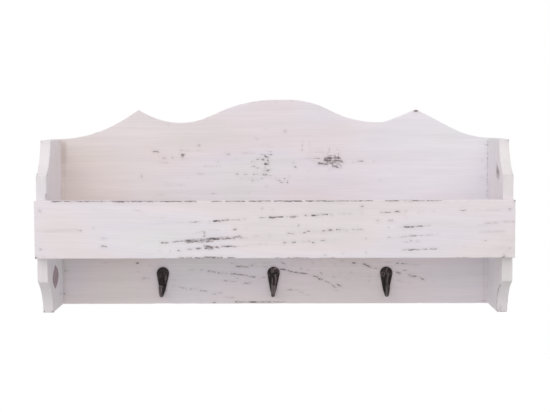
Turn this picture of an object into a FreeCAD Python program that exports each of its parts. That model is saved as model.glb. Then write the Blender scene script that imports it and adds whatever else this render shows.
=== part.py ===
# Whitewashed wall rack: a back board with a scalloped top, two coved sides, a shelf behind
# a plain front board, and three cast hooks below it.
# Lengths are in millimetres. X runs to the right seen from the front, Y runs from the front
# towards the wall and Z runs up. Heights are written from the rack's bottom edge and depths
# are negative, forward from the wall. save() then moves every piece into the part's own
# frame, whose origin lies on the wall face, midway between the two keyholes.
import FreeCAD, Part
import math
import os

V = FreeCAD.Vector

# Boards
front_width = 600.0
front_height = 72.4
front_thickness = 12.0
front_lift = 75.6
side_height = 222.5
side_thickness = 13.0
side_inset = 0.5
back_thickness = 12.0
shelf_depth = 104.0
shelf_thickness = 12.0
shelf_lift = 4.0
edge_ease = 0.8

# Coves at the front corners of the sides
cove_height = 44.0
cove_depth = 33.0
cove_sag_share = 0.135

# Scalloped top of the back board, each rise above the level below it. It was sawn by eye:
# the crown stands a little to the right, and pairs are for the left half and the right half
trough_rise = 21.5
crown_rise = 30.4
peak_rise = 17.0
crown_flat = 16.0
crown_shift = 9.2
trough_offsets = [126.3, 138.8]
peak_offsets = [182.0, 188.8]
crown_radius_shares = [0.66, 0.46]
peak_radius_shares = [0.96, 0.52]
end_radius_shares = [0.97, 0.77]

# Cast hooks
hook_spacing = 150.5
hook_shifts = [-0.9, -2.2, -0.9]
hook_head_height = 41.7
hook_head_radius = 8.3
hook_tail_drop = 23.4
hook_tail_radius = 3.9
hook_plate_thickness = 2.4
hook_plate_ease = 0.7
arm_width = 6.6
arm_thickness = 4.0
arm_bed = 0.35
rib_length = 17.0
bend_radius = 9.6
bend_sweep = math.radians(168.0)
prong_length = 9.0
hook_leans_deg = [1.7, 1.3, 0.3]
# Sections of the arm: how far along it, and the width and thickness there
arm_section_shares = [
    (0.00, 0.30, 0.36),
    (0.10, 0.56, 0.70),
    (0.24, 0.98, 1.00),
    (0.36, 1.06, 1.05),
    (0.48, 0.86, 1.00),
    (0.60, 0.74, 0.94),
    (0.72, 0.78, 0.90),
    (0.84, 0.92, 0.88),
    (0.94, 1.00, 0.84),
    (0.985, 0.84, 0.66),
    (1.00, 0.46, 0.34),
]

# Hook screws
hook_screw_spread = 4.3
hook_screw_stagger = 1.7
screw_head_radius = 2.75
screw_head_height = 1.5
screw_shank_radius = 1.4
screw_grip = 8.5
screw_point = 2.4
screw_cross_width = 0.7
screw_cross_length = 3.0
screw_cross_depth = 0.8

# Nails
nail_radius = 0.9
nail_head_radius = 1.5
nail_head_height = 1.2
nail_length = 32.0
nail_point = 2.2
nail_sink = 0.3
front_nail_inset = 12.0
side_nail_inset = 27.0
shelf_nail_inset = 22.0
shelf_nail_end_inset = 106.5

# Keyhole hangers in the rear face of the back board
hanger_inset = 86.5
keyhole_height = 205.0
hanger_width = 16.0
hanger_height = 46.0
hanger_thickness = 1.6
keyhole_entry_radius = 4.6
keyhole_slot_radius = 2.3
keyhole_travel = 10.0
pocket_margin = 1.4
pocket_depth = 5.0
hanger_screw_inset = 5.0
hanger_screw_radius = 1.3
hanger_screw_head = 2.7
hanger_screw_cone = 1.2
hanger_screw_length = 8.0

# Fits
drive_clearance = 0.1
hole_clearance = 0.3
let_in_clearance = 0.2
overrun = 2.0
same_place = 0.01

# Places that follow from the sizes above
half_outer = front_width / 2 - side_inset
half_inner = half_outer - side_thickness
hanger_spread = half_inner - hanger_inset
shelf_nail_spread = half_inner - shelf_nail_end_inset
back_face = -back_thickness
front_edge = back_face - shelf_depth
front_face = front_edge - front_thickness
shelf_under = front_lift + shelf_lift
shelf_middle = shelf_under + shelf_thickness / 2


def save(name, shape):
    """Move a piece into the part's frame and write it."""
    placed = shape.copy()
    placed.translate(V(0, 0, -keyhole_height))
    placed.exportStep("parts/" + name + ".step")


def block(low, high):
    """A box between two corners."""
    size = high.sub(low)
    return Part.makeBox(size.x, size.y, size.z, low)


def arc_edge(start, middle, end):
    return Part.Arc(start, middle, end).toShape()


def line_edge(start, end):
    return Part.LineSegment(start, end).toShape()


def face_edges(shape, axis, place):
    """The edges that lie in one flat plane across an axis."""
    found = []
    for edge in shape.Edges:
        box = edge.BoundBox
        low = getattr(box, axis + "Min")
        high = getattr(box, axis + "Max")
        if abs(low - place) < same_place and abs(high - place) < same_place:
            found.append(edge)
    return found


def eased_block(low, high):
    """A plain board with all its edges rubbed down."""
    board = block(low, high)
    return board.makeFillet(edge_ease, board.Edges)


def sweep(low, high, share):
    """Where a level arc from the low point ends, so that a straight line from there runs
    on to the high point. Returns the middle and the end of the arc."""
    side = math.copysign(1, high.x - low.x)
    run = abs(high.x - low.x)
    rise = high.z - low.z
    radius = share * (run ** 2 + rise ** 2) / (2 * rise)
    distance = math.hypot(run, radius - rise)
    down = math.atan2(run, radius - rise)
    turn = down - math.acos(radius / distance)
    centre = low.add(V(0, 0, radius))
    middle = centre.add(V(side * radius * math.sin(turn / 2), 0, -radius * math.cos(turn / 2)))
    end = centre.add(V(side * radius * math.sin(turn), 0, -radius * math.cos(turn)))
    return middle, end


def ogee(high, low, share):
    """Two tangent arcs from a level high point to a level low point."""
    side = math.copysign(1, low.x - high.x)
    run = abs(low.x - high.x)
    drop = high.z - low.z
    both = (run ** 2 + drop ** 2) / (2 * drop)
    turn = math.asin(run / both)
    upper = share * both
    lower = both - upper
    upper_centre = high.sub(V(0, 0, upper))
    lower_centre = low.add(V(0, 0, lower))

    def on_upper(angle):
        return upper_centre.add(V(side * upper * math.sin(angle), 0, upper * math.cos(angle)))

    def on_lower(angle):
        return lower_centre.sub(V(side * lower * math.sin(angle), 0, lower * math.cos(angle)))

    meet = on_upper(turn)
    return [
        arc_edge(high, on_upper(turn / 2), meet),
        arc_edge(meet, on_lower(turn / 2), low),
    ]


def crest_half(side):
    """The edges of one half of the scalloped top, from the crown outwards."""
    half = 0 if side < 0 else 1
    end_low = V(side * (half_inner + side_thickness / 2), 0, side_height)
    trough = V(side * trough_offsets[half], 0, side_height + trough_rise)
    peak = V(side * peak_offsets[half], 0, trough.z + peak_rise)
    crown = V(crown_shift, 0, trough.z + crown_rise)
    crown_end = crown.add(V(side * crown_flat / 2, 0, 0))
    rise_middle, rise_end = sweep(trough, peak, peak_radius_shares[half])
    fall_middle, fall_end = sweep(end_low, peak, end_radius_shares[half])
    edges = [line_edge(crown, crown_end)]
    edges += ogee(crown_end, trough, crown_radius_shares[half])
    edges += [arc_edge(trough, rise_middle, rise_end), line_edge(rise_end, peak)]
    edges += [line_edge(peak, fall_end), arc_edge(fall_end, fall_middle, end_low)]
    corner = V(end_low.x, 0, 0)
    edges += [line_edge(end_low, corner), line_edge(corner, V(0, 0, 0))]
    return edges


def turn_about_head(shape, x, lean_deg):
    """Lean a hook or what goes through it, its lower end to the left."""
    turned = shape.copy()
    turned.rotate(V(x, 0, hook_head_height), V(0, 1, 0), lean_deg)
    return turned


def hook_places():
    """Each hook's name, its place along the rack and its lean."""
    names = ["hook_left", "hook_centre", "hook_right"]
    return [
        (name, (i - 1) * hook_spacing + hook_shifts[i], hook_leans_deg[i])
        for i, name in enumerate(names)
    ]


def screw_places(x):
    """The two screw centres in a hook's head, the left one lower."""
    return [
        V(x + side * hook_screw_spread, 0, hook_head_height + side * hook_screw_stagger)
        for side in (-1, 1)
    ]


def rod(start, direction, radius, length):
    return Part.makeCylinder(radius, length, start, direction)


def hook_screw(centre):
    """A dome-headed cross-slot wood screw, its head on the hook plate."""
    seat = V(centre.x, back_face - hook_plate_thickness, centre.z)
    inward = V(0, 1, 0)
    ball = (screw_head_radius ** 2 + screw_head_height ** 2) / (2 * screw_head_height)
    dome = Part.makeSphere(ball, seat.add(V(0, ball - screw_head_height, 0)))
    head = dome.common(rod(seat.sub(V(0, screw_head_height, 0)), inward,
                           screw_head_radius, screw_head_height))
    shank = rod(seat, inward, screw_shank_radius, screw_grip)
    point = Part.makeCone(screw_shank_radius, 0, screw_point,
                          seat.add(V(0, screw_grip, 0)), inward)
    screw = head.fuse([shank, point])
    reach = V(screw_cross_length / 2, screw_cross_depth, screw_cross_width / 2)
    top = seat.sub(V(0, screw_head_height, 0))
    for half in (reach, V(reach.z, reach.y, reach.x)):
        screw = screw.cut(block(top.sub(V(half.x, overrun, half.z)), top.add(half)))
    return screw.removeSplitter()


def hook_plate(x):
    """The teardrop plate: a round head drawn down to a small round tail."""
    head = V(x, 0, hook_head_height)
    tail = V(x, 0, hook_head_height - hook_tail_drop)
    lift = math.asin((hook_head_radius - hook_tail_radius) / hook_tail_drop)

    def rim(centre, radius, side):
        return centre.add(V(side * radius * math.cos(lift), 0, -radius * math.sin(lift)))

    points = [rim(head, hook_head_radius, -1), rim(head, hook_head_radius, 1)]
    points += [rim(tail, hook_tail_radius, 1), rim(tail, hook_tail_radius, -1)]
    top = head.add(V(0, 0, hook_head_radius))
    bottom = tail.sub(V(0, 0, hook_tail_radius))
    outline = Part.Wire([
        arc_edge(points[0], top, points[1]),
        line_edge(points[1], points[2]),
        arc_edge(points[2], bottom, points[3]),
        line_edge(points[3], points[0]),
    ])
    plate = Part.Face(outline).extrude(V(0, -hook_plate_thickness, 0))
    plate = plate.makeFillet(hook_plate_ease, face_edges(plate, "Y", -hook_plate_thickness))
    plate.translate(V(0, back_face, 0))
    return plate


def arm_station(travel):
    """Place and angle of the arm's centre line at a distance along it."""
    bed = -arm_thickness / 2 - arm_bed
    bend = bend_radius * bend_sweep
    bend_top = hook_head_height - hook_tail_drop + hook_tail_radius
    if travel < rib_length:
        return V(0, bed, bend_top + rib_length - travel), 0.0
    angle = min((travel - rib_length) / bend_radius, bend_sweep)
    y = bed - bend_radius * (1 - math.cos(angle))
    z = bend_top - bend_radius * math.sin(angle)
    past = max(travel - rib_length - bend, 0)
    return V(0, y - past * math.sin(angle), z - past * math.cos(angle)), angle


def hook_arm(x):
    """The rib down the plate that bends forward and up into the prong."""
    total = rib_length + bend_radius * bend_sweep + prong_length
    unit = Part.Wire(Part.Circle(V(0, 0, 0), V(0, 0, 1), 1).toShape())
    sections = []
    for travel_share, width_share, thickness_share in arm_section_shares:
        place, angle = arm_station(travel_share * total)
        matrix = FreeCAD.Matrix()
        matrix.scale(V(width_share * arm_width / 2, thickness_share * arm_thickness / 2, 1))
        matrix.rotateX(-angle)
        matrix.move(place.add(V(x, back_face, 0)))
        sections.append(unit.transformGeometry(matrix))
    return Part.makeLoft(sections, True, False)


def hook(x, lean_deg):
    """One cast hook with its two screw holes."""
    body = hook_plate(x).fuse(hook_arm(x)).removeSplitter()
    for centre in screw_places(x):
        start = V(centre.x, back_face + overrun, centre.z)
        depth = hook_plate_thickness + overrun * 2
        body = body.cut(rod(start, V(0, -1, 0), screw_shank_radius + hole_clearance, depth))
    return turn_about_head(body, x, lean_deg)


def hook_screws(x, lean_deg):
    screws = [hook_screw(centre) for centre in screw_places(x)]
    return turn_about_head(Part.makeCompound(screws), x, lean_deg)


def hook_pilots(x, lean_deg):
    """The holes that a hook's screws need in the back board."""
    length = screw_grip + screw_point - hook_plate_thickness + drive_clearance
    holes = [
        rod(V(centre.x, back_face - overrun, centre.z), V(0, 1, 0),
            screw_shank_radius + drive_clearance, length + overrun)
        for centre in screw_places(x)
    ]
    return turn_about_head(Part.makeCompound(holes), x, lean_deg)


def nail(surface, direction):
    """A brad: a small head just under the surface, a shank and a point."""
    start = surface.add(V(direction).multiply(nail_sink))
    shank_length = nail_length - nail_point
    head = rod(start, direction, nail_head_radius, nail_head_height)
    shank = rod(start, direction, nail_radius, shank_length)
    tip = start.add(V(direction).multiply(shank_length))
    point = Part.makeCone(nail_radius, 0, nail_point, tip, direction)
    return head.fuse([shank, point]).removeSplitter()


def nail_hole(surface, direction):
    """The room that a nail takes, open to the surface it was driven through."""
    head = rod(surface.sub(V(direction).multiply(overrun)), direction,
               nail_head_radius + drive_clearance,
               overrun + nail_sink + nail_head_height + drive_clearance)
    shank = rod(surface, direction, nail_radius + drive_clearance,
                nail_sink + nail_length + drive_clearance)
    return head.fuse(shank)


def front_nails():
    """Surface point and direction of each nail through the front board into the sides."""
    x = half_inner + side_thickness / 2
    low = front_lift + front_nail_inset
    high = front_lift + front_height - front_nail_inset
    return [(V(side * x, front_face, z), V(0, 1, 0)) for side in (-1, 1) for z in (low, high)]


def side_nails(side):
    """Nails through a side: three into the back board's end, two into the shelf's end."""
    surface = side * half_outer
    inward = V(-side, 0, 0)
    back_y = back_face / 2
    heights = [side_nail_inset, side_height / 2, side_height - side_nail_inset]
    depths = [back_face - shelf_nail_inset, front_edge + shelf_nail_inset]
    nails = [(V(surface, back_y, z), inward) for z in heights]
    return nails + [(V(surface, y, shelf_middle), inward) for y in depths]


def shelf_nails():
    """Nails through the back board into the shelf's rear edge."""
    return [(V(i * shelf_nail_spread, 0, shelf_middle), V(0, -1, 0)) for i in (-1, 0, 1)]


def nail_group(nails):
    return Part.makeCompound([nail(surface, direction) for surface, direction in nails])


def drilled(board, nails):
    """A board with the nails' holes in it."""
    for surface, direction in nails:
        board = board.cut(nail_hole(surface, direction))
    return board


def keyhole(x, deep):
    """The keyhole's opening in the hanger, entry below and slot above, cut to a depth."""
    start = V(x, overrun, keyhole_height)
    forward = V(0, -1, 0)
    length = deep + overrun
    rise = V(0, 0, keyhole_travel)
    entry = rod(start, forward, keyhole_entry_radius, length)
    top = rod(start.add(rise), forward, keyhole_slot_radius, length)
    slot = block(start.add(V(-keyhole_slot_radius, -length, 0)),
                 start.add(V(keyhole_slot_radius, 0, keyhole_travel)))
    return entry.fuse([top, slot]).removeSplitter()


def hanger_screw_places(x):
    middle = keyhole_height + keyhole_travel / 2
    reach = hanger_height / 2 - hanger_screw_inset
    return [V(x, 0, middle - reach), V(x, 0, middle + reach)]


def hanger_outline(x, margin, depth):
    """A tall block with round ends, flush with the rear face."""
    radius = hanger_width / 2 + margin
    middle = keyhole_height + keyhole_travel / 2
    reach = hanger_height / 2 + margin - radius
    ends = [
        rod(V(x, 0, middle + side * reach), V(0, -1, 0), radius, depth) for side in (-1, 1)
    ]
    body = block(V(x - radius, -depth, middle - reach), V(x + radius, 0, middle + reach))
    return body.fuse(ends).removeSplitter()


def hanger_screw(centre, clearance):
    """A countersunk wood screw, or the room it takes when given a clearance."""
    forward = V(0, -1, 0)
    cone = Part.makeCone(hanger_screw_head + clearance, hanger_screw_radius + clearance,
                         hanger_screw_cone, centre, forward)
    shank = rod(centre, forward, hanger_screw_radius + clearance,
                hanger_screw_length + clearance)
    return cone.fuse(shank).removeSplitter()


def hanger(x):
    """A keyhole plate with two countersunk holes."""
    plate = hanger_outline(x, 0, hanger_thickness).cut(keyhole(x, hanger_thickness + overrun))
    for centre in hanger_screw_places(x):
        plate = plate.cut(hanger_screw(centre, drive_clearance))
    return plate


def hanger_screws(x):
    return Part.makeCompound([hanger_screw(centre, 0) for centre in hanger_screw_places(x)])


def hanger_room(x):
    """What is routed out of the back board for a hanger: its bed, a pocket for the wall
    screw's head and two pilot holes."""
    bed = hanger_outline(x, let_in_clearance, hanger_thickness)
    pocket_radius = keyhole_entry_radius + pocket_margin
    floor = hanger_thickness + pocket_depth
    start = V(x, 0, keyhole_height)
    rise = V(0, 0, keyhole_travel)
    low = rod(start, V(0, -1, 0), pocket_radius, floor)
    high = rod(start.add(rise), V(0, -1, 0), pocket_radius, floor)
    between = block(start.sub(V(pocket_radius, floor, 0)),
                    start.add(V(pocket_radius, 0, keyhole_travel)))
    pilots = [hanger_screw(centre, drive_clearance) for centre in hanger_screw_places(x)]
    return bed.fuse([low, high, between] + pilots)


def back_panel():
    """The scalloped board between the sides, drilled for nails, hooks and hangers."""
    right = crest_half(1)
    left = crest_half(-1)
    outline = Part.Wire(Part.sortEdges(right + left)[0])
    board = Part.Face(outline).extrude(V(0, back_face, 0))
    board = board.common(block(V(-half_inner, back_face - overrun, -overrun),
                               V(half_inner, overrun, side_height * 2)))
    rims = face_edges(board, "Y", back_face) + face_edges(board, "Y", 0)
    rims = [edge for edge in rims if abs(edge.CenterOfMass.x) < half_inner - same_place]
    board = board.makeFillet(edge_ease, rims)
    board = drilled(board, side_nails(-1) + side_nails(1) + shelf_nails())
    for name, x, lean_deg in hook_places():
        board = board.cut(hook_pilots(x, lean_deg))
    for side in (-1, 1):
        board = board.cut(hanger_room(side * hanger_spread))
    return board


def cove(tip, corner, behind):
    """A hollow arc from the tip to the sharp corner, sagging into the wood."""
    chord = corner.sub(tip)
    across = V(0, -chord.z, chord.y)
    if across.dot(behind) < 0:
        across = across.negative()
    middle = tip.add(corner).multiply(1 / 2)
    return arc_edge(tip, middle.add(across.multiply(cove_sag_share)), corner)


def side_board(side):
    """An upright board with a cove at each front corner, drilled for its nails."""
    tip_y = front_edge + cove_depth
    low_tip = V(0, tip_y, 0)
    low_corner = V(0, front_edge, cove_height)
    high_corner = V(0, front_edge, side_height - cove_height)
    high_tip = V(0, tip_y, side_height)
    wall_low = V(0, 0, 0)
    wall_high = V(0, 0, side_height)
    behind = V(0, 1, 0)
    outline = Part.Wire([
        line_edge(wall_low, low_tip),
        cove(low_tip, low_corner, behind),
        line_edge(low_corner, high_corner),
        cove(high_corner, high_tip, behind),
        line_edge(high_tip, wall_high),
        line_edge(wall_high, wall_low),
    ])
    board = Part.Face(outline).extrude(V(side_thickness, 0, 0))
    rims = face_edges(board, "X", 0) + face_edges(board, "X", side_thickness)
    board = board.makeFillet(edge_ease, rims)
    board.translate(V(half_inner if side > 0 else -half_outer, 0, 0))
    return drilled(board, side_nails(side) + front_nails())


def front_board():
    """The plain board across the sides' front edges."""
    half = front_width / 2
    board = eased_block(V(-half, front_face, front_lift),
                        V(half, front_edge, front_lift + front_height))
    return drilled(board, front_nails())


def shelf_board():
    """The shelf, from the back board to the front board between the sides."""
    board = block(V(-half_inner, front_edge, shelf_under),
                  V(half_inner, back_face, shelf_under + shelf_thickness))
    return drilled(board, side_nails(-1) + side_nails(1) + shelf_nails())


os.makedirs("parts", exist_ok=True)
save("back_panel", back_panel())
save("left_side", side_board(-1))
save("right_side", side_board(1))
save("front_board", front_board())
save("shelf_board", shelf_board())
save("front_board_nails", nail_group(front_nails()))
save("left_side_nails", nail_group(side_nails(-1)))
save("right_side_nails", nail_group(side_nails(1)))
save("shelf_back_nails", nail_group(shelf_nails()))
for name, x, lean_deg in hook_places():
    save(name, hook(x, lean_deg))
    save(name + "_screws", hook_screws(x, lean_deg))
for name, side in (("hanger_left", -1), ("hanger_right", 1)):
    save(name, hanger(side * hanger_spread))
    save(name + "_screws", hanger_screws(side * hanger_spread))
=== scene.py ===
"""Dresses a packed wall rack: boards in a thin white wash rubbed through to dark wood, and
three cast hooks in dark lacquer. Lengths are in metres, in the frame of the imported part."""
import math

import bpy
from mathutils import Matrix, Vector, noise
from mathutils.kdtree import KDTree


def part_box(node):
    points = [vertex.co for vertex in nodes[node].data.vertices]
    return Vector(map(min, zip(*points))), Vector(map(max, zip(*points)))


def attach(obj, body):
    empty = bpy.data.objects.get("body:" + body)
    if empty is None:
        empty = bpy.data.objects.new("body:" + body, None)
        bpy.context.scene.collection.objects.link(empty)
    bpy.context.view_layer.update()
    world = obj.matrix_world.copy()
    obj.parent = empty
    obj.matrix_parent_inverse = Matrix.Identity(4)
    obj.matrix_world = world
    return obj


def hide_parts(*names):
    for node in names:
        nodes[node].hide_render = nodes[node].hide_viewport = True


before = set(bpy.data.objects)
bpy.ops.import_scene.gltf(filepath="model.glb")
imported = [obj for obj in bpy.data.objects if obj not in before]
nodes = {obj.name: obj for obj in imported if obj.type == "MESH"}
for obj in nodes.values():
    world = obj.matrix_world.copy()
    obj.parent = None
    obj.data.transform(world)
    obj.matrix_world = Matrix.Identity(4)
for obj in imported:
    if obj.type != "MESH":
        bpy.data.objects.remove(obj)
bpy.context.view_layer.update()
scene = bpy.context.scene
scene.view_settings.view_transform = "Standard"
mm = 0.001

# The photograph's camera
photo_width = 550
photo_height = 412
focal_px = 1194.11
camera_place = Vector((0.00906, -1.61029, 0.05149))
camera_yaw = 0.00564
camera_pitch = -0.0776
camera_roll = 0.003
sensor_width = 36.0

# Flat faces of the rack that carry marks: which axis they are across, and where. A side's foot
# and neck are the front of its lowest and highest points, behind the coves.
left_low, left_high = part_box("left_side")
right_low, right_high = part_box("right_side")
back_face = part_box("back_panel")[0].y
side_points = [v.co for v in nodes["left_side"].data.vertices]
end_band = 1 * mm
front_plane = ("y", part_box("front_board")[0].y)
back_plane = ("y", back_face)
left_inner_plane = ("x", left_high.x)
right_inner_plane = ("x", right_low.x)
side_edge_plane = ("y", left_low.y)
foot_plane = ("y", min(p.y for p in side_points if p.z < left_low.z + end_band))
neck_plane = ("y", min(p.y for p in side_points if p.z > left_high.z - end_band))

# How finely the meshes are cut, along the grain and across it. A face is cut finely where its
# normal is nearly straight on to an axis, leans forwards, or doesn't face the wall.
straight_on = 0.99
leans_forward = -0.5
faces_wall = 0.9
along_cut = 2.0 * mm
front_cross_cut = 1.0 * mm
back_cross_cut = 1.25 * mm
side_cross_cut = 1.6 * mm
hidden_cut = 4.0 * mm
hook_cut = 0.6 * mm
merge_distance = 0.001 * mm
flat_degrees = 0.3
board_smooth_degrees = 30
hook_smooth_degrees = 40

# How far wear reaches from a mark of no depth and from one of full depth, and what it takes away
rub_reach = (0.95 * mm, 1.85 * mm)
soil_reach = (2 * mm, 5.5 * mm)
stain_and_shade_reach = (1.5 * mm, 6 * mm)
mark_step = 0.6 * mm
arris_reach = 2.5 * mm
arris_lean = 0.15
rub_depth = 0.35 * mm
rub_grain = 2 * mm
chip_depth = 0.6 * mm
chip_grain = 3 * mm
chip_rate = 70
chip_gain = 1.8
least_wear = 0.02
marked_skin = 1 * mm
marked_edge = 3 * mm
stroke_reach_px = 1.0
rim_reach_px = 0.6
hook_front = 0.2
# Wear and painted sheen on the front of a hook's prong
prong_wear_and_sheen = 0.22

# Light and floor of the studio
world_light = 0.555
floor_height = -1.5
floor_radius = 6.0
floor_grey = 0.78
floor_glow = 0.54
rack_middle = (0, -0.06, -0.06)
# Softboxes: name, place, width and power
softboxes = [
    ("key_upper_left", (-1.3, -2.0, 1.5), 1.4, 10.6),
    ("upper_right", (1.3, -2.0, 1.5), 1.4, 6.1),
    ("overhead", (0.1, -1.1, 2.2), 1.6, 10.5),
    ("front", (0, -3.0, 0.5), 1.8, 7.7),
    ("front_left", (-1.8, -2.6, 0.4), 1.8, 6),
]

# Rubbed places, by the photograph's pixels. A streak is (x, y, x, y, depth) and a speck is
# (x, y, depth), where a depth of 1 is rubbed down to bare wood and 0.3 only greys the wash.
front_board_rubs_px = [
    # long upper streak
    (150, 224, 186, 223.2, 0.3), (189, 222.3, 200, 221.8, 0.45), (209.5, 221.8, 0.6),
    (214, 221.2, 228.5, 220.2, 0.8), (230, 220.3, 246, 219.2, 0.5),
    (260, 217.9, 266, 217.7, 0.45), (270, 217.4, 275.8, 217.3, 0.85),
    (275.8, 217.2, 283, 217.1, 0.65), (286.5, 217, 288, 217, 0.55),
    (291, 216.7, 296.3, 216.5, 0.8), (296.3, 216.8, 299.5, 216.9, 0.35),
    (304.8, 215.5, 307, 215.4, 0.65), (312, 215.5, 316.9, 215.4, 0.85),
    (316.9, 215.2, 319.1, 215, 0.6), (319.1, 214.7, 328, 214.5, 0.6), (331.4, 215, 0.75),
    (323.1, 220, 0.35), (312, 218.5, 0.35), (339, 213.8, 352, 213.6, 0.4), (362, 213, 0.5),
    (381, 212.5, 392, 212.2, 0.5), (395, 211.8, 400, 211.6, 0.66), (404, 214, 0.44),
    (406, 211, 0.53), (406, 218, 0.4), (419, 213, 0.44), (423, 212, 0.44), (434, 210.8, 0.4),
    (460, 210.5, 466, 210.3, 0.44), (470, 210.5, 500, 210.5, 0.25),
    # heavy streak left of the middle
    (161.6, 242.9, 168, 242.9, 0.7), (173, 242, 184, 241, 0.8), (185.5, 240.2, 198, 239.4, 0.7),
    (185.5, 241.3, 198, 240.6, 0.95), (187, 242.6, 199, 242, 0.7),
    (197, 240.6, 218, 239.2, 0.95), (198, 239.3, 219, 238.2, 0.75), (203, 242, 214, 240.8, 0.75),
    (196, 241.9, 208, 241.4, 0.7), (217, 238.6, 234, 238.2, 0.85), (219, 237.4, 228, 237, 0.5),
    (233, 237.9, 240, 236.6, 0.9), (238, 237.2, 241, 238.2, 0.6), (240.5, 238, 247, 238, 0.45),
    (253.6, 236.6, 259.8, 236.6, 0.4), (269.6, 235.5, 0.65), (204.5, 231.7, 204.7, 236.8, 0.7),
    (194.6, 233.5, 201.8, 231.7, 0.35), (202, 231, 205, 231.3, 0.45),
    (205.4, 230.5, 219.6, 230.3, 0.35), (225.9, 230.2, 0.5), (233.6, 229.7, 235.4, 229.3, 0.75),
    (244, 228.9, 247.5, 228.8, 0.3),
    # streak below it
    (159, 251.3, 161.6, 251.2, 0.45), (170.5, 251, 0.5), (177.7, 250.7, 180.8, 250.6, 0.55),
    (187.5, 249.3, 192, 249.2, 0.7), (194.6, 248.8, 197, 248.4, 0.5),
    (197.5, 248.9, 201, 248.3, 0.75), (204.5, 246, 212, 248.2, 0.85),
    (206, 248.3, 212.5, 248.5, 0.95), (208, 246.3, 213, 247.3, 0.8),
    (212.5, 247, 219.6, 247.9, 0.75), (215, 246.3, 219, 246.8, 0.5),
    (221.4, 246.6, 230.4, 246.5, 0.75), (231, 246.5, 237.5, 246.6, 0.6),
    (238, 246.4, 243, 246.2, 0.4), (243.8, 246, 261.6, 244.2, 0.35), (266, 244.3, 0.5),
    (284.8, 242.6, 0.6),
    # streaks right of the middle
    (288, 233.5, 294, 233.4, 0.65), (295.4, 233, 299, 232.9, 0.35), (299.5, 232.6, 0.5),
    (303, 232.8, 305.3, 232.6, 0.55), (307, 231.6, 309.3, 231.4, 0.6), (314.2, 231.5, 0.55),
    (317.3, 231.5, 0.45), (322, 231.2, 324.9, 231, 0.75), (325, 230.8, 328.5, 230.6, 0.5),
    (328.5, 230.4, 331.6, 230.2, 0.8), (283.8, 242.4, 286, 242.4, 0.7),
    (292.3, 242.4, 295, 242.4, 0.7), (337, 229.7, 340, 229.5, 0.8), (343, 229.7, 0.55),
    (346.3, 230.3, 0.6), (353.5, 229.4, 0.5), (357, 229.5, 363, 229.5, 0.45),
    (302.6, 242, 304.8, 241.9, 0.45), (308, 241.5, 310.2, 241.5, 0.6), (315.5, 241.3, 0.5),
    (313.4, 242.8, 0.9), (320, 240.6, 325, 240.4, 0.5), (335, 240, 0.4),
    (397, 227.3, 403, 227.1, 0.4), (404, 227.2, 422, 226.3, 0.84), (424, 225.7, 431, 225.5, 0.4),
    (397.5, 236.8, 0.44), (401, 236.7, 407, 236.5, 0.48), (409, 235.8, 416, 235.6, 0.57),
    (417, 235.6, 423, 235.4, 0.48), (425, 235.1, 434, 234.9, 0.44), (438, 233.8, 0.44),
    (411, 240.8, 0.66), (403, 242.3, 408, 242.1, 0.4), (416, 241.6, 419, 241.4, 0.4),
    (402, 250.1, 407, 249.9, 0.53), (408, 249.9, 418, 249.6, 0.66), (418, 249.4, 427, 249, 0.53),
    (430, 248.8, 437, 248.6, 0.62), (464.5, 246.2, 0.4),
    # specks
    (378, 220.8, 0.8), (362, 206.5, 0.9), (359, 209.7, 0.5), (366, 238.4, 0.5),
    (366, 252.4, 0.5), (389, 220.5, 393, 220.5, 0.62), (388.8, 227.4, 0.4),
    (388, 237.4, 393, 237.2, 0.4), (323, 255, 327, 255, 0.4), (343, 253.5, 0.4),
    (262.3, 208.4, 0.7), (163, 217.3, 0.6), (272.8, 210, 0.5), (298.3, 224.5, 298.3, 226.5, 0.5),
    (293, 226.5, 0.5), (78, 230.2, 81.5, 230.4, 0.6), (40.7, 211.3, 0.55), (93.8, 228.7, 0.6),
    (101, 238.3, 106, 238.5, 0.45), (102, 246.4, 106.5, 246.5, 0.7), (117, 245.5, 0.35),
    (139, 244.6, 0.35), (137.5, 246, 0.3), (95, 209.3, 0.4), (133, 210.4, 141, 210.2, 0.35),
    (142, 214, 0.35), (515.2, 200.8, 0.9), (508.4, 208.4, 511, 208.2, 0.4),
    (484, 223.2, 499.5, 222.7, 0.38), (503.5, 221.6, 515, 221.6, 0.36),
    (485, 231.6, 504, 231.2, 0.3), (482, 240.7, 487, 240.7, 0.3),
    (499.5, 247.9, 505, 247.9, 0.3), (507.5, 250.8, 0.35),
    # upper arris
    (52, 201.3, 196, 201.2, 0.7), (113, 201.5, 123, 201.5, 0.95), (128, 201.4, 153, 201.4, 0.9),
    (158, 201.3, 173, 201.3, 0.7), (178, 201.3, 194, 201.3, 0.7), (212, 201.2, 221, 201.2, 0.5),
    (226, 201.2, 244, 201.1, 0.6), (244, 201.1, 251, 201, 0.4), (251, 201, 270, 200.9, 0.8),
    (275, 200.9, 301, 200.9, 0.9), (306, 200.9, 345, 200.7, 0.85), (345, 200.7, 373, 200.6, 0.6),
    (385, 200.6, 389, 200.6, 0.5), (389.4, 200.6, 396.5, 200.5, 0.85),
    (396.5, 200.5, 399.6, 200.5, 0.5), (403.7, 200.5, 411, 200.5, 0.6),
    (411, 200.5, 418, 200.5, 0.85), (418, 200.5, 424, 200.5, 0.6),
    (427, 200.5, 439.4, 200.5, 0.6), (441.4, 200.5, 0.45), (445.5, 200.5, 0.45),
    (457, 200.5, 0.4),
    # lower arris
    (178, 258, 184, 258, 0.7), (187, 258, 192, 258, 0.7), (195, 258, 203, 258, 0.6),
    (205, 257.6, 222, 257.6, 0.95), (228, 258, 234, 258, 0.8), (252, 258, 254, 258, 0.4),
    (275, 258, 279, 258, 0.5), (288, 258, 308, 258, 0.5), (34.5, 257.5, 37, 259, 0.8),
    (44.5, 258.4, 0.6), (54.5, 258.4, 0.5), (502.6, 258.2, 504.5, 256.4, 0.95),
    (504.2, 254, 505, 257, 0.4),
]
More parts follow.
